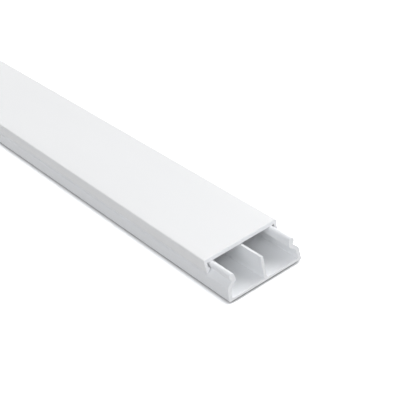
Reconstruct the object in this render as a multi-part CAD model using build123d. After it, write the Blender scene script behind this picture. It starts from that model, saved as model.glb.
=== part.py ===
"""Cable trunking, 32 x 12 mm with two channels: an extruded base and its clip-on cover, in millimetres.

X runs across the trunking, Y along it, and Z away from the wall that it is fixed to. The origin
is the centre of the base's back face, and the near end, where the base shows past the cover,
is at minus Y.
"""
import os

from build123d import *

# Overall sizes
TRUNKING_WIDTH = 32.0  # across the base's back and the cover's top, to where their corners would be sharp
TRUNKING_HEIGHT = 12.0
BASE_LENGTH = 2000.0
COVER_LENGTH = 2000.0
COVER_SET_BACK = 11.4  # from the base's near end to the cover's near end, as it lies
SIDE_DRAFT = 0.3  # how far leg and wall each come in from their outer corner towards the seam

# The cover: a flat web with a springy leg down each side and a barb inside each leg
COVER_THICKNESS = 1.5
LEG_THICKNESS = 1.1
LEG_REACH = 5.4  # from the cover's top down to the legs' tips, which leave a seam along the side
LEG_TIP_FLAT = 0.3
BARB_FLANK_RISE = 1.2  # from the barb's point up to where it meets the leg
COVER_CORNER_RADIUS = 0.5
COVER_INNER_RADIUS = 0.15
LEG_TIP_RADIUS = 0.1

# The base: a tray with a divider, walls that lean in at the top, and a round bead along each wall
FLOOR_THICKNESS = 1.0
WALL_THICKNESS = 1.4
WALL_LEAN = 2.2  # how far the wall leans in between the kink and the neck
WALL_LEAN_RISE = 2.2  # how high it rises over that stretch
NECK_HEIGHT = 0.5  # the neck is the groove under the bead
BEAD_WIDTH = 2.05
BEAD_HEIGHT = 1.6  # from its widest up to its top
BEAD_SLANT = 0.4  # how far the bead's inner face comes further in on its way down
BEAD_FLANK_RISE = 0.9  # from the neck up to the bead's full width
DIVIDER_THICKNESS = 1.1
DIVIDER_DROP = 0.4  # from the cover's underside down to the divider's top
DIVIDER_FOOT_RADIUS = 0.35
DIVIDER_TOP_RADIUS = 0.3
BOTTOM_CORNER_RADIUS = 0.5
INNER_CORNER_RADIUS = 0.35
KINK_RADIUS = 0.5
NECK_RADIUS = 0.2

# The fit between them
CLIP_GAP = 0.75  # sideways, from the bead to the root of the leg
BARB_CATCH = 0.25  # how far the barb reaches in under the bead
BARB_PLAY = 0.2  # up and down, between the barb's point and the neck's top

HALF_WIDTH = TRUNKING_WIDTH / 2
SEAM_X = HALF_WIDTH - SIDE_DRAFT
UNDERSIDE = TRUNKING_HEIGHT - COVER_THICKNESS  # the cover's underside rests on the beads
LEG_TIP = TRUNKING_HEIGHT - LEG_REACH

BEAD_OUTER = HALF_WIDTH - LEG_THICKNESS - CLIP_GAP
BEAD_INNER = BEAD_OUTER - BEAD_WIDTH
BEAD_RADIUS = BEAD_WIDTH / 2
BEAD_WIDEST = UNDERSIDE - BEAD_HEIGHT
NECK_X = SEAM_X - WALL_LEAN
NECK_TOP = BEAD_WIDEST - BEAD_FLANK_RISE
NECK_FOOT = NECK_TOP - NECK_HEIGHT
KINK = NECK_FOOT - WALL_LEAN_RISE  # the wall is all but upright up to here, and leans in above it
DIVIDER_TOP = UNDERSIDE - DIVIDER_DROP

BARB_POINT = BEAD_OUTER - BARB_CATCH
BARB_HEIGHT = NECK_TOP - BARB_PLAY
BARB_ROOT = BARB_HEIGHT + BARB_FLANK_RISE

BASE_NEAR_END = -BASE_LENGTH / 2
COVER_NEAR_END = BASE_NEAR_END + COVER_SET_BACK


def leg_inner(z):
    """Distance from the centre to the leg's inner face at the height z."""
    return HALF_WIDTH - LEG_THICKNESS - SIDE_DRAFT * (TRUNKING_HEIGHT - z) / LEG_REACH


def wall_inner(z):
    """Distance from the centre to the wall's inner face at the height z, below the kink."""
    return HALF_WIDTH - WALL_THICKNESS - SIDE_DRAFT * z / KINK


def leaning_face_height(x):
    """Height at x of the wall's leaning inner face, which runs one wall thickness inside the outer one."""
    slant = (WALL_LEAN**2 + WALL_LEAN_RISE**2) ** 0.5
    return KINK + (WALL_LEAN_RISE * (SEAM_X - x) - WALL_THICKNESS * slant) / WALL_LEAN


def mirrored_outline(right):
    """The closed outline of right-hand corners (x, height, radius) and their mirror images in x = 0."""
    return right + [(-x, z, radius) for x, z, radius in reversed(right)]


def profile(corners):
    """A closed face in the XZ plane with each of its corners rounded to its own radius."""
    face = make_face(Polyline([(x, z) for x, z, radius in corners], close=True))
    for x, z, radius in corners:
        if radius > 0:
            corner = face.vertices().sort_by_distance(Vector(x, z, 0))[0]
            face = fillet(corner, radius)
    return Plane.XZ * face


def extrusion(corners, near_end, length):
    """The profile drawn out along +Y from its near end."""
    near_face = Pos(0, near_end, 0) * profile(corners)
    return extrude(near_face, amount=length, dir=(0, 1, 0))


def base():
    """The tray: floor, two clip walls and the divider, in one extrusion."""
    bead_foot = BEAD_INNER - BEAD_SLANT
    inner_kink = SEAM_X - WALL_THICKNESS
    right = [
        (HALF_WIDTH, 0, BOTTOM_CORNER_RADIUS),
        (SEAM_X, KINK, KINK_RADIUS),
        (NECK_X, NECK_FOOT, NECK_RADIUS),
        (NECK_X, NECK_TOP, NECK_RADIUS),
        (BEAD_OUTER, BEAD_WIDEST, NECK_RADIUS),
        (BEAD_OUTER, UNDERSIDE, BEAD_RADIUS),
        (BEAD_INNER, UNDERSIDE, BEAD_RADIUS),
        (bead_foot, leaning_face_height(bead_foot), NECK_RADIUS),
        (inner_kink, leaning_face_height(inner_kink), KINK_RADIUS),
        (wall_inner(FLOOR_THICKNESS), FLOOR_THICKNESS, INNER_CORNER_RADIUS),
        (DIVIDER_THICKNESS / 2, FLOOR_THICKNESS, DIVIDER_FOOT_RADIUS),
        (DIVIDER_THICKNESS / 2, DIVIDER_TOP, DIVIDER_TOP_RADIUS),
    ]
    return extrusion(mirrored_outline(right), BASE_NEAR_END, BASE_LENGTH)


def cover():
    """The clip-on cover: web, legs and barbs, in one extrusion."""
    right = [
        (leg_inner(UNDERSIDE), UNDERSIDE, COVER_INNER_RADIUS),
        (leg_inner(BARB_ROOT), BARB_ROOT, 0),
        (BARB_POINT, BARB_HEIGHT, COVER_INNER_RADIUS),
        (SEAM_X - LEG_TIP_FLAT, LEG_TIP, LEG_TIP_RADIUS),
        (SEAM_X, LEG_TIP, LEG_TIP_RADIUS),
        (HALF_WIDTH, TRUNKING_HEIGHT, COVER_CORNER_RADIUS),
    ]
    return extrusion(mirrored_outline(right), COVER_NEAR_END, COVER_LENGTH)


os.makedirs("parts", exist_ok=True)
export_step(base(), "parts/base.step")
export_step(cover(), "parts/cover.step")
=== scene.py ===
"""Two-channel cable trunking: an extruded PVC base and its clip-on cover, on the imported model.

Lengths are in millimetres in the classes, save where a comment says metres, and are turned to
metres where a mesh or an object is made. X runs across the trunking, Y along it and Z up from
its back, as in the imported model.
"""
from __future__ import annotations

import logging
import math
from dataclasses import dataclass
from enum import Enum
from typing import Sequence

import bpy
import numpy as np
from mathutils import Matrix, Vector

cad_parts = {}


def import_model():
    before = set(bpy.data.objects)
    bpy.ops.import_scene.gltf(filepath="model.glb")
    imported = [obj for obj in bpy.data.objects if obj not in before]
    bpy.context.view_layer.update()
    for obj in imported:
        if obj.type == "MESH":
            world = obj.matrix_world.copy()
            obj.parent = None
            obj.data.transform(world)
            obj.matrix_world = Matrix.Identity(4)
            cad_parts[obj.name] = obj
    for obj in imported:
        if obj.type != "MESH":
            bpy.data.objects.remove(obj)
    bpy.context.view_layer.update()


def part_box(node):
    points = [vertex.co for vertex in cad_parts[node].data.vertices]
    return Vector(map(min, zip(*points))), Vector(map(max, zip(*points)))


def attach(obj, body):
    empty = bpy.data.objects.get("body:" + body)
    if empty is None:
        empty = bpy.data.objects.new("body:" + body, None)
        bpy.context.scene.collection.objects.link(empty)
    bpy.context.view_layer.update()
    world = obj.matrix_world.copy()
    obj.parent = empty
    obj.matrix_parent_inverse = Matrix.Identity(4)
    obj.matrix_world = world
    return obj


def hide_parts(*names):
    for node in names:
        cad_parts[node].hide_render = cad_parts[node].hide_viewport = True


LOG = logging.getLogger("trunking")
MM = 0.001  # metres
MIX_FACTOR, MIX_FIRST, MIX_SECOND, MIX_RESULT = 0, 6, 7, 2  # a Mix node's sockets for colours
SHARE, UNDER, OVER = 0, 1, 2  # a Mix Shader's sockets: OVER covers UNDER by SHARE


class BoxAxis(Enum):
    """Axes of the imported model's boxes, as places in a corner."""

    ALONG = 1
    UP = 2


class CutEnd(Enum):
    """The two sawn ends of an extrusion, as the direction along Y in which each faces."""

    NEAR = -1
    FAR = 1


class FaceFinish(Enum):
    """The finishes of an extrusion, as places among its mesh's materials."""

    SKIN = 0
    SAWN = 1


def linear(hex_colour: str) -> tuple[float, float, float, float]:
    """Linear RGBA of an sRGB hex colour.

    Args:
        hex_colour: six hex digits with a leading hash.

    Returns:
        Red, green and blue as linear light, and an alpha of 1.
    """
    channels = []
    for place in (1, 3, 5):
        value = int(hex_colour[place:place + 2], 16) / 255
        channels.append(value / 12.92 if value <= 0.04045 else ((value + 0.055) / 1.055) ** 2.4)
    return channels[0], channels[1], channels[2], 1.0


def add_node(tree: bpy.types.NodeTree, kind: str, settings: dict | None = None,
             inputs: dict | None = None, links: dict | None = None) -> bpy.types.Node:
    """Add a node with its settings, socket values and incoming links.

    Args:
        tree: node tree that takes the node.
        kind: the node's type name.
        settings: attributes of the node by name.
        inputs: values of its input sockets, by name or place.
        links: output sockets to join to its input sockets, by name or place.

    Returns:
        The new node.
    """
    node = tree.nodes.new(kind)
    for name, value in (settings or {}).items():
        setattr(node, name, value)
    for socket, value in (inputs or {}).items():
        node.inputs[socket].default_value = value
    for socket, source in (links or {}).items():
        tree.links.new(source, node.inputs[socket])
    return node


def empty_tree(owner: bpy.types.Material | bpy.types.World) -> bpy.types.NodeTree:
    """Turn nodes on in a new material or world and clear the ones that it comes with.

    Args:
        owner: the material or world.

    Returns:
        Its empty node tree.
    """
    owner.use_nodes = True
    owner.node_tree.nodes.clear()
    return owner.node_tree


@dataclass(frozen=True)
class ExtrudedPVC:
    """White rigid PVC pushed through a die: satin, smooth across and faintly lined lengthwise.

    The base and the cover are extruded apart, so each has its own white.
    """

    name: str
    white: str
    shade: str  # the slightly darker tone that the pigment drifts to
    ior: float = 1.54
    roughness_low: float = 0.34
    roughness_high: float = 0.46
    die_line_mm: float = 0.9  # real die lines are finer, and are drawn as coarse as can show
    die_line_run_mm: float = 260.0  # how far a line keeps its form along the length
    die_line_depth_mm: float = 0.006
    die_line_detail: float = 3.0  # octaves of finer lines between the main ones
    die_line_fineness: float = 0.6  # how strong each finer octave is
    smooth_at: float = 0.3  # height of the lines, from 0 to 1, at which the skin is smoothest
    rough_at: float = 0.7  # and at which it is roughest
    drift_across_mm: float = 22.5  # size of the slow changes in tone
    drift_along_mm: float = 90.0
    drift_detail: float = 2.0  # octaves of smaller changes in them

    def make(self) -> bpy.types.Material:
        """Build the material.

        Returns:
            A material whose tone, roughness and bump follow Object coordinates.
        """
        material = bpy.data.materials.new(self.name)
        tree = empty_tree(material)
        place = add_node(tree, "ShaderNodeTexCoord").outputs["Object"]
        line, run = 1 / (self.die_line_mm * MM), 1 / (self.die_line_run_mm * MM)
        across, along = 1 / (self.drift_across_mm * MM), 1 / (self.drift_along_mm * MM)
        lengthwise = add_node(tree, "ShaderNodeMapping", inputs={"Scale": (line, run, line)},
                              links={"Vector": place})
        lines = add_node(tree, "ShaderNodeTexNoise",
                         inputs={"Scale": 1.0, "Detail": self.die_line_detail,
                                 "Roughness": self.die_line_fineness},
                         links={"Vector": lengthwise.outputs["Vector"]})
        slow = add_node(tree, "ShaderNodeMapping", inputs={"Scale": (across, along, across)},
                        links={"Vector": place})
        clouds = add_node(tree, "ShaderNodeTexNoise",
                          inputs={"Scale": 1.0, "Detail": self.drift_detail},
                          links={"Vector": slow.outputs["Vector"]})
        tone = add_node(tree, "ShaderNodeMix", settings={"data_type": "RGBA"},
                        inputs={MIX_FIRST: linear(self.white), MIX_SECOND: linear(self.shade)},
                        links={MIX_FACTOR: clouds.outputs["Fac"]})
        gloss = add_node(tree, "ShaderNodeMapRange",
                         inputs={"From Min": self.smooth_at, "From Max": self.rough_at,
                                 "To Min": self.roughness_low, "To Max": self.roughness_high},
                         links={"Value": lines.outputs["Fac"]})
        bump = add_node(tree, "ShaderNodeBump",
                        inputs={"Strength": 1.0, "Distance": self.die_line_depth_mm * MM},
                        links={"Height": lines.outputs["Fac"]})
        shader = add_node(tree, "ShaderNodeBsdfPrincipled", inputs={"IOR": self.ior},
                          links={"Base Color": tone.outputs[MIX_RESULT],
                                 "Roughness": gloss.outputs["Result"],
                                 "Normal": bump.outputs["Normal"]})
        add_node(tree, "ShaderNodeOutputMaterial", links={"Surface": shader.outputs["BSDF"]})
        return material


@dataclass(frozen=True)
class SawnPVC:
    """The same PVC where a fine-toothed saw went across it: matt, with level saw marks."""

    name: str = "rigid_pvc_sawn"
    white: str = "#f4f5f6"
    shade: str = "#ecedee"  # tone of the ridges that the teeth left
    ior: float = 1.54
    roughness: float = 0.62
    tooth_mark_mm: float = 0.45  # real marks are finer, and are drawn as coarse as can show
    mark_run_mm: float = 14.0  # how far a mark keeps its form across the face
    mark_depth_mm: float = 0.02
    mark_detail: float = 4.0  # octaves of finer marks between the main ones
    mark_fineness: float = 0.65  # how strong each finer octave is
    grid_turn: float = 6.0  # degrees that the noise's own grid is turned, so that it doesn't show

    def make(self) -> bpy.types.Material:
        """Build the material.

        Returns:
            A material whose marks run across the cut face and step up it.
        """
        material = bpy.data.materials.new(self.name)
        tree = empty_tree(material)
        place = add_node(tree, "ShaderNodeTexCoord").outputs["Object"]
        step, run = 1 / (self.tooth_mark_mm * MM), 1 / (self.mark_run_mm * MM)
        level = add_node(tree, "ShaderNodeMapping",
                         inputs={"Rotation": (0.0, math.radians(self.grid_turn), 0.0),
                                 "Scale": (run, run, step)},
                         links={"Vector": place})
        marks = add_node(tree, "ShaderNodeTexNoise",
                         inputs={"Scale": 1.0, "Detail": self.mark_detail,
                                 "Roughness": self.mark_fineness},
                         links={"Vector": level.outputs["Vector"]})
        tone = add_node(tree, "ShaderNodeMix", settings={"data_type": "RGBA"},
                        inputs={MIX_FIRST: linear(self.white), MIX_SECOND: linear(self.shade)},
                        links={MIX_FACTOR: marks.outputs["Fac"]})
        bump = add_node(tree, "ShaderNodeBump",
                        inputs={"Strength": 1.0, "Distance": self.mark_depth_mm * MM},
                        links={"Height": marks.outputs["Fac"]})
        shader = add_node(tree, "ShaderNodeBsdfPrincipled",
                          inputs={"IOR": self.ior, "Roughness": self.roughness},
                          links={"Base Color": tone.outputs[MIX_RESULT],
                                 "Normal": bump.outputs["Normal"]})
        add_node(tree, "ShaderNodeOutputMaterial", links={"Surface": shader.outputs["BSDF"]})
        return material


@dataclass(frozen=True)
class Corner:
    """A corner of a section: its place across, its height and the radius that rounds it."""

    x: float
    z: float
    radius: float


@dataclass(frozen=True)
class Outline:
    """A closed section as points and outward normals, anticlockwise as seen from the near end."""

    points: np.ndarray
    normals: np.ndarray

    @classmethod
    def rounded(cls, corners: Sequence[Corner], arc_points: int) -> Outline:
        """Round every corner of a polygon to its radius.

        Formula: at each corner lies the circle that touches both sides. With t the distance from
        the corner to where it touches, t = r tan(turn / 2), its centre is t back along the
        incoming side and r square to it, inwards at a convex corner and outwards at a hollow one.
        The arc is that centre plus r times a normal that turns evenly from one side's to the
        next's.

        Args:
            corners: the polygon, anticlockwise.
            arc_points: how many points each arc has.

        Returns:
            The outline, with arc_points points for every corner.
        """
        at = np.array([(corner.x, corner.z) for corner in corners])
        radius = np.array([corner.radius for corner in corners])
        incoming = at - np.roll(at, 1, axis=0)
        incoming /= np.linalg.norm(incoming, axis=1, keepdims=True)
        outgoing = np.roll(incoming, -1, axis=0)
        turn = np.arctan2(incoming[:, 0] * outgoing[:, 1] - incoming[:, 1] * outgoing[:, 0],
                          (incoming * outgoing).sum(axis=1))
        side = np.sign(turn)
        normal_in = np.stack([incoming[:, 1], -incoming[:, 0]], axis=1)
        reach = radius * np.tan(np.abs(turn) / 2)
        centre = at - reach[:, None] * incoming - (side * radius)[:, None] * normal_in
        angle = turn[:, None] * np.linspace(0, 1, arc_points)[None, :]
        cos, sin = np.cos(angle), np.sin(angle)
        normal = np.stack([cos * normal_in[:, :1] - sin * normal_in[:, 1:],
                           sin * normal_in[:, :1] + cos * normal_in[:, 1:]], axis=2)
        points = centre[:, None, :] + (side * radius)[:, None, None] * normal
        return cls(points.reshape(-1, 2), normal.reshape(-1, 2))


@dataclass(frozen=True)
class Extrusion:
    """An outline drawn along Y between two sawn ends whose edges are just broken."""

    outline: Outline
    near: float
    far: float
    edge_break: float = 0.08  # the saw leaves an edge that is rounded by about this much
    edge_rings: int = 4  # rings on each rounded edge
    bay: float = 50.0  # distance between cross rings along the length

    def rings(self) -> tuple[np.ndarray, np.ndarray, np.ndarray]:
        """Places of the cross rings along the length.

        Formula: an end's rings follow a quarter circle. At the angle a from the cut face the ring
        is edge_break (1 - sin a) inside the outline and edge_break (1 - cos a) behind the face,
        and its normal is sin a outwards plus cos a along the axis.

        Returns:
            For each ring its place along Y, its inset from the outline and its normal's share
            along Y.
        """
        angle = np.linspace(0, math.pi / 2, self.edge_rings)
        depth, inset = self.edge_break * (1 - np.cos(angle)), self.edge_break * (1 - np.sin(angle))
        bays = max(2, round((self.far - self.near) / self.bay))  # at least one ring in between
        first, last = self.near + self.edge_break, self.far - self.edge_break
        middle = np.linspace(first, last, bays + 1)[1:-1]
        along = np.concatenate([self.near + depth, middle, (self.far - depth)[::-1]])
        insets = np.concatenate([inset, np.zeros(middle.size), inset[::-1]])
        tilt = np.concatenate([CutEnd.NEAR.value * np.cos(angle), np.zeros(middle.size),
                               CutEnd.FAR.value * np.cos(angle)[::-1]])
        return along, insets, tilt

    def mesh(self, name: str) -> bpy.types.Mesh:
        """Carry the outline through the rings and close both ends.

        Formula: the point of ring s and outline point m is the outline point moved inwards by the
        ring's inset along its normal, at the ring's place along Y. Its normal is the outline's,
        shortened to leave room for the ring's share along Y.

        Args:
            name: the mesh's name.

        Returns:
            A closed mesh in metres, with the places of FaceFinish as its material numbers.
        """
        along, insets, tilt = self.rings()
        count, ring = along.size, len(self.outline.points)
        section = self.outline.points[None] - insets[:, None, None] * self.outline.normals[None]
        points = np.stack([section[..., 0],
                           np.repeat(along[:, None], ring, axis=1),
                           section[..., 1]], axis=2)
        level = np.sqrt(1 - tilt**2)[:, None]
        normals = np.stack([level * self.outline.normals[None, :, 0],
                            np.repeat(tilt[:, None], ring, axis=1),
                            level * self.outline.normals[None, :, 1]], axis=2)
        index = np.arange(count * ring).reshape(count, ring)
        this, ahead = index[:-1], index[1:]
        skin = np.stack([this, ahead, np.roll(ahead, -1, axis=1), np.roll(this, -1, axis=1)],
                        axis=2)
        ends = [index[0].tolist(), index[-1][::-1].tolist()]
        faces = skin.reshape(-1, 4).tolist() + ends
        mesh = bpy.data.meshes.new(name)
        mesh.from_pydata((points.reshape(-1, 3) * MM).tolist(), [], faces)
        mesh.shade_smooth()
        mesh.normals_split_custom_set_from_vertices(normals.reshape(-1, 3).tolist())
        finishes = np.full(len(faces), FaceFinish.SKIN.value, np.int32)
        finishes[-len(ends):] = FaceFinish.SAWN.value
        mesh.polygons.foreach_set("material_index", finishes)
        mesh.update()
        return mesh


def mirrored(right: Sequence[Corner]) -> list[Corner]:
    """The right half's corners, followed by their mirror images in the centre plane."""
    return list(right) + [Corner(-corner.x, corner.z, corner.radius) for corner in reversed(right)]


@dataclass
class Fit:
    """Sizes that the base and the cover share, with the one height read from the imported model."""

    underside: float  # height of the cover's underside, where the beads meet it
    half_width: float = 16.0
    side_draft: float = 0.3
    bead_height: float = 1.6
    bead_flank_rise: float = 0.9
    leg: float = 1.1
    clip_gap: float = 0.75

    @property
    def seam(self) -> float:
        """Distance from the centre to the sides where leg and wall come nearest."""
        return self.half_width - self.side_draft

    @property
    def bead_outer(self) -> float:
        """Distance from the centre to the beads' outer side."""
        return self.half_width - self.leg - self.clip_gap

    @property
    def neck_top(self) -> float:
        """Height of the neck's top, where the bead's flank starts."""
        return self.underside - self.bead_height - self.bead_flank_rise


@dataclass
class TrunkingBase:
    """The tray with its divider and its two clip walls, one extrusion."""

    fit: Fit
    near: float
    far: float
    floor: float = 1.0
    wall: float = 1.4
    lean: float = 2.2
    lean_rise: float = 2.2
    neck_height: float = 0.5
    bead_width: float = 2.05
    bead_slant: float = 0.4
    divider: float = 1.1
    divider_drop: float = 0.4
    divider_foot_radius: float = 0.35
    divider_top_radius: float = 0.3
    bottom_corner_radius: float = 0.5
    inner_corner_radius: float = 0.35
    kink_radius: float = 0.5
    neck_radius: float = 0.2
    arc_points: int = 8

    @property
    def kink(self) -> float:
        """Height of the kink, above which the wall leans in."""
        return self.fit.neck_top - self.neck_height - self.lean_rise

    def wall_inner(self, z: float) -> float:
        """Distance from the centre to the wall's inner face below the kink.

        Args:
            z: height on the wall.

        Returns:
            The distance in millimetres.
        """
        return self.fit.half_width - self.wall - self.fit.side_draft * z / self.kink

    def leaning_face_height(self, x: float) -> float:
        """Height at x of the wall's leaning inner face, one wall thickness inside the outer one.

        Args:
            x: distance from the centre plane.

        Returns:
            The height in millimetres.
        """
        slant = math.hypot(self.lean, self.lean_rise)
        return self.kink + (self.lean_rise * (self.fit.seam - x) - self.wall * slant) / self.lean

    def outline(self) -> Outline:
        """Draw the section.

        Returns:
            Its rounded outline.
        """
        seam, top, neck = self.fit.seam, self.fit.underside, self.fit.neck_top
        bead_out, bead_in = self.fit.bead_outer, self.fit.bead_outer - self.bead_width
        bead_foot, inner_kink = bead_in - self.bead_slant, seam - self.wall
        right = [
            Corner(self.fit.half_width, 0, self.bottom_corner_radius),
            Corner(seam, self.kink, self.kink_radius),
            Corner(seam - self.lean, neck - self.neck_height, self.neck_radius),
            Corner(seam - self.lean, neck, self.neck_radius),
            Corner(bead_out, neck + self.fit.bead_flank_rise, self.neck_radius),
            Corner(bead_out, top, self.bead_width / 2),
            Corner(bead_in, top, self.bead_width / 2),
            Corner(bead_foot, self.leaning_face_height(bead_foot), self.neck_radius),
            Corner(inner_kink, self.leaning_face_height(inner_kink), self.kink_radius),
            Corner(self.wall_inner(self.floor), self.floor, self.inner_corner_radius),
            Corner(self.divider / 2, self.floor, self.divider_foot_radius),
            Corner(self.divider / 2, top - self.divider_drop, self.divider_top_radius),
        ]
        return Outline.rounded(mirrored(right), self.arc_points)

    def build(self, skin: bpy.types.Material, sawn: bpy.types.Material) -> bpy.types.Object:
        """Make the base, dress it and let it stand for its solid.

        Args:
            skin: finish of the extruded faces.
            sawn: finish of the two cut ends.

        Returns:
            The base's object.
        """
        stock = Extrusion(self.outline(), self.near, self.far)
        piece = dressed(stock.mesh("trunking_base"), skin, sawn)
        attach(piece, "base")
        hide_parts("base")
        return piece


@dataclass
class ClipOnCover:
    """The flat cover with a springy leg down each side, barbed on its inside, one extrusion."""

    fit: Fit
    near: float
    far: float
    top: float
    tip: float  # height of the legs' tips
    tip_flat: float = 0.3
    barb_catch: float = 0.25
    barb_play: float = 0.2
    barb_flank_rise: float = 1.2
    corner_radius: float = 0.5
    inner_radius: float = 0.15
    tip_radius: float = 0.1
    arc_points: int = 8

    def leg_inner(self, z: float) -> float:
        """Distance from the centre to the leg's inner face.

        Args:
            z: height on the leg.

        Returns:
            The distance in millimetres.
        """
        draft = self.fit.side_draft * (self.top - z) / (self.top - self.tip)
        return self.fit.half_width - self.fit.leg - draft

    def outline(self) -> Outline:
        """Draw the section.

        Returns:
            Its rounded outline.
        """
        seam, underside = self.fit.seam, self.fit.underside
        barb_point = self.fit.neck_top - self.barb_play
        barb_root = barb_point + self.barb_flank_rise
        right = [
            Corner(self.leg_inner(underside), underside, self.inner_radius),
            Corner(self.leg_inner(barb_root), barb_root, self.inner_radius),
            Corner(self.fit.bead_outer - self.barb_catch, barb_point, self.inner_radius),
            Corner(seam - self.tip_flat, self.tip, self.tip_radius),
            Corner(seam, self.tip, self.tip_radius),
            Corner(self.fit.half_width, self.top, self.corner_radius),
        ]
        return Outline.rounded(mirrored(right), self.arc_points)

    def build(self, skin: bpy.types.Material, sawn: bpy.types.Material) -> bpy.types.Object:
        """Make the cover, dress it and let it stand for its solid.

        Args:
            skin: finish of the extruded faces.
            sawn: finish of the two cut ends.

        Returns:
            The cover's object.
        """
        stock = Extrusion(self.outline(), self.near, self.far)
        piece = dressed(stock.mesh("clip_on_cover"), skin, sawn)
        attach(piece, "cover")
        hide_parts("cover")
        return piece


def dressed(mesh: bpy.types.Mesh, *finishes: bpy.types.Material) -> bpy.types.Object:
    """Put a mesh in the scene at the origin with its finishes.

    Args:
        mesh: the piece's mesh, in place.
        finishes: materials in the order of the mesh's material numbers.

    Returns:
        The new object.
    """
    piece = bpy.data.objects.new(mesh.name, mesh)
    bpy.context.scene.collection.objects.link(piece)
    for finish in finishes:
        mesh.materials.append(finish)
    return piece


def in_reflections(tree: bpy.types.NodeTree, path: bpy.types.NodeOutputs) -> bpy.types.NodeSocket:
    """Tell the rays that show the surroundings in gloss or through a clear piece.

    Args:
        tree: node tree of the floor or the room.
        path: outputs of its Light Path node.

    Returns:
        A socket that is 1 for gloss and transmission rays.
    """
    either = add_node(tree, "ShaderNodeMath", settings={"operation": "MAXIMUM"},
                      links={0: path["Is Glossy Ray"], 1: path["Is Transmission Ray"]})
    return either.outputs[0]


@dataclass(frozen=True)
class PaleFloor:
    """The plain pale sweep that the trunking lies on."""

    name: str = "studio_floor"
    half_size: float = 6.0  # metres
    paper: str = "#bcbcbc"
    seen_gain: float = 4.2  # how much lighter than its own shade the camera sees the paper
    contact_mm: float = 2.2  # reach of the narrow shadow where the trunking meets the paper: painted shade from occlusion, over the real shade
    contact_samples: int = 16
    drop_mm: float = 0.9  # below the trunking's back, which is never quite flat on the paper
    lit_reach: float = 0.9  # metres across, out to which the paper shows the light that falls on it
    white_reach: float = 1.4  # metres across, from which it is all white
    stretch: float = 2.0  # both reaches are this much longer along the trunking

    def material(self) -> bpy.types.Material:
        """Make the paper: matt, and for camera and gloss rays white where nothing shades it.

        Formula: with a the share of the sky above a point that nothing within contact_mm hides,
        the camera sees the paper's colour times seen_gain times a, up to white, and a reflection
        sees white times a. For the camera the paper turns to plain white as
        d = sqrt(x^2 + (y / stretch)^2) goes from lit_reach to white_reach.

        Returns:
            The floor's material.
        """
        material = bpy.data.materials.new(self.name)
        tree = empty_tree(material)
        path = add_node(tree, "ShaderNodeLightPath").outputs
        colour = linear(self.paper)
        bright = tuple(self.seen_gain * channel for channel in colour[:3]) + (1.0,)
        # painted contact shadow: occlusion darkens the paper's colour for the camera and its white
        # in reflections
        painted_contact_shade = add_node(tree, "ShaderNodeAmbientOcclusion",
                          settings={"samples": self.contact_samples},
                          inputs={"Color": bright, "Distance": self.contact_mm * MM})
        plain = add_node(tree, "ShaderNodeBsdfDiffuse", inputs={"Color": colour})
        lit = add_node(tree, "ShaderNodeBsdfDiffuse", links={"Color": painted_contact_shade.outputs["Color"]})
        gleam = add_node(tree, "ShaderNodeEmission", links={"Strength": painted_contact_shade.outputs["AO"]})
        place = add_node(tree, "ShaderNodeTexCoord").outputs["Object"]
        squeezed = add_node(tree, "ShaderNodeMapping",
                            inputs={"Scale": (1.0, 1 / self.stretch, 0.0)},
                            links={"Vector": place})
        reach = add_node(tree, "ShaderNodeVectorMath", settings={"operation": "LENGTH"},
                         links={0: squeezed.outputs["Vector"]})
        far = add_node(tree, "ShaderNodeMapRange",
                       inputs={"From Min": self.lit_reach, "From Max": self.white_reach},
                       links={"Value": reach.outputs["Value"]})
        white = add_node(tree, "ShaderNodeEmission")
        exposed = add_node(tree, "ShaderNodeMixShader",
                           links={SHARE: far.outputs["Result"],
                                  UNDER: lit.outputs[0], OVER: white.outputs[0]})
        direct = add_node(tree, "ShaderNodeMixShader",
                          links={SHARE: path["Is Camera Ray"],
                                 UNDER: plain.outputs[0], OVER: exposed.outputs[0]})
        mixed = add_node(tree, "ShaderNodeMixShader",
                         links={SHARE: in_reflections(tree, path),
                                UNDER: direct.outputs[0], OVER: gleam.outputs[0]})
        add_node(tree, "ShaderNodeOutputMaterial", links={"Surface": mixed.outputs[0]})
        return material

    def build(self) -> None:
        """Lay the floor."""
        s, z = self.half_size, -self.drop_mm * MM
        mesh = bpy.data.meshes.new(self.name)
        corners = [(-s, -s, z), (s, -s, z), (s, s, z), (-s, s, z)]
        mesh.from_pydata(corners, [], [(0, 1, 2, 3)])
        dressed(mesh, self.material())


def direction(azimuth: float, elevation: float) -> Vector:
    """Turn two angles into a direction.

    Args:
        azimuth: degrees from +Y towards +X.
        elevation: degrees up from level.

    Returns:
        A vector of length 1.
    """
    turn, rise = math.radians(azimuth), math.radians(elevation)
    level = math.cos(rise)
    return Vector((math.sin(turn) * level, math.cos(turn) * level, math.sin(rise)))


@dataclass(frozen=True)
class Softbox:
    """A broad square light that faces the trunking's near end."""

    name: str
    power: float  # watts
    azimuth: float  # degrees from straight ahead of the near end, towards +X
    elevation: float  # degrees above the floor
    colour: str = "#ffffff"
    size: float = 3.6  # metres
    distance: float = 4.0  # metres

    def build(self, aim: Vector) -> None:
        """Hang the light.

        Args:
            aim: point that the light faces, in metres.
        """
        lamp = bpy.data.lights.new(self.name, "AREA")
        lamp.shape = "SQUARE"
        lamp.size = self.size
        lamp.energy = self.power
        lamp.color = linear(self.colour)[:3]
        box = bpy.data.objects.new(self.name, lamp)
        bpy.context.scene.collection.objects.link(box)
        towards = direction(180 - self.azimuth, self.elevation)
        box.location = aim + towards * self.distance
        box.rotation_mode = "QUATERNION"
        box.rotation_quaternion = (-towards).to_track_quat("-Z", "Y")


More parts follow.
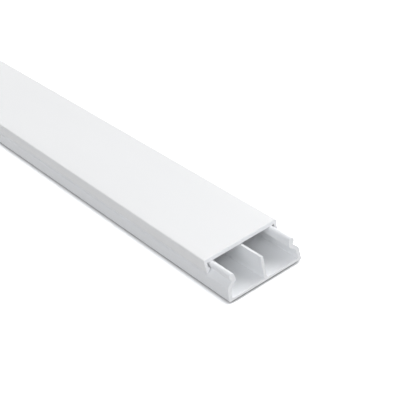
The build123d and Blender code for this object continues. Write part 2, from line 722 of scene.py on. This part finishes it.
@dataclass(frozen=True)
class StudioLight:
    """A dim white room, two soft lights to the right, one in front and a weaker one to the left."""

    room_strength: float = 0.15
    room_colour: str = "#f8faff"
    seen_colour: str = "#ffffff"  # what the camera and reflections see of the room
    boxes: tuple[Softbox, ...] = (
        Softbox("right_front_softbox", power=74.0, azimuth=60.0, elevation=40.0),
        Softbox("right_back_softbox", power=84.0, azimuth=120.0, elevation=40.0),
        Softbox("front_softbox", power=86.0, azimuth=-28.0, elevation=30.0, colour="#fcfdff"),
        Softbox("left_softbox", power=34.0, azimuth=-85.0, elevation=26.0, colour="#fcfdff"),
    )

    def build(self, aim: Vector) -> None:
        """Light the room.

        Args:
            aim: point that the lights face, in metres.
        """
        world = bpy.data.worlds.new("white_room")
        tree = empty_tree(world)
        path = add_node(tree, "ShaderNodeLightPath").outputs
        lights = add_node(tree, "ShaderNodeBackground",
                          inputs={"Color": linear(self.room_colour),
                                  "Strength": self.room_strength})
        shows = add_node(tree, "ShaderNodeBackground",
                         inputs={"Color": linear(self.seen_colour), "Strength": 1.0})
        seen = add_node(tree, "ShaderNodeMath", settings={"operation": "MAXIMUM"},
                        links={0: path["Is Camera Ray"], 1: in_reflections(tree, path)})
        mixed = add_node(tree, "ShaderNodeMixShader",
                         links={SHARE: seen.outputs[0],
                                UNDER: lights.outputs[0], OVER: shows.outputs[0]})
        add_node(tree, "ShaderNodeOutputWorld", links={"Surface": mixed.outputs[0]})
        bpy.context.scene.world = world
        for box in self.boxes:
            box.build(aim)


@dataclass(frozen=True)
class PhotoCamera:
    """A camera that stands where the photograph was taken from, worked out from its edges."""

    focal_pixels: float = 1147.5
    picture_pixels: float = 400.0
    azimuth: float = 29.22  # degrees that it looks to the right of straight along the trunking
    elevation: float = 32.31  # degrees that it looks down
    roll: float = 12.50  # degrees that its right-hand side is turned down
    aim_across: float = 14.92  # from the near end's bottom centre to the point it faces
    aim_along: float = 59.98
    distance: float = 444.4
    sensor: float = 36.0
    clip: tuple[float, float] = (0.01, 100.0)  # nearest and farthest that it sees, in metres

    def build(self, near: float) -> None:
        """Set the camera up.

        Args:
            near: place along Y of the base's near end, in millimetres.
        """
        data = bpy.data.cameras.new("photo_camera")
        data.sensor_width = self.sensor
        data.lens = data.sensor_width * self.focal_pixels / self.picture_pixels
        data.clip_start, data.clip_end = self.clip
        camera = bpy.data.objects.new("photo_camera", data)
        bpy.context.scene.collection.objects.link(camera)
        bpy.context.scene.camera = camera
        ahead = direction(self.azimuth, -self.elevation)
        aim = Vector((self.aim_across, near + self.aim_along, 0)) * MM
        level = ahead.to_track_quat("-Z", "Y").to_matrix().to_4x4()
        camera.matrix_world = (Matrix.Translation(aim - ahead * self.distance * MM) @ level
                               @ Matrix.Rotation(math.radians(-self.roll), 4, "Z"))


@dataclass(frozen=True)
class Trunking:
    """The whole object: the base and its cover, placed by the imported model's boxes."""

    base_pvc: ExtrudedPVC = ExtrudedPVC("rigid_pvc_extruded_base", "#f3f4f5", "#eff1f3")
    cover_pvc: ExtrudedPVC = ExtrudedPVC("rigid_pvc_extruded_cover", "#f4f4f4", "#f0f1f1")
    sawn_pvc: SawnPVC = SawnPVC()

    def build(self) -> list[bpy.types.Object]:
        """Build both extrusions.

        Returns:
            The base's and the cover's objects.
        """
        along, up = BoxAxis.ALONG.value, BoxAxis.UP.value
        base_low, base_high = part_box("base")
        cover_low, cover_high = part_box("cover")
        fit = Fit(underside=base_high[up] / MM)
        base_skin, cover_skin = self.base_pvc.make(), self.cover_pvc.make()
        sawn = self.sawn_pvc.make()
        base = TrunkingBase(fit, near=base_low[along] / MM, far=base_high[along] / MM)
        cover = ClipOnCover(fit, near=cover_low[along] / MM, far=cover_high[along] / MM,
                            top=cover_high[up] / MM, tip=cover_low[up] / MM)
        return [base.build(base_skin, sawn), cover.build(cover_skin, sawn)]


def main() -> None:
    """Build the trunking, the floor, the light and the camera."""
    logging.basicConfig(level=logging.INFO, format="%(name)s: %(message)s")
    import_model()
    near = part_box("base")[0][BoxAxis.ALONG.value] / MM
    for piece in Trunking().build():
        LOG.info("%s: %d faces", piece.name, len(piece.data.polygons))
    PaleFloor().build()
    StudioLight().build(aim=Vector((0, near * MM, 0)))
    PhotoCamera().build(near)
    bpy.context.scene.view_settings.view_transform = "Standard"


if __name__ == "__main__":
    main()
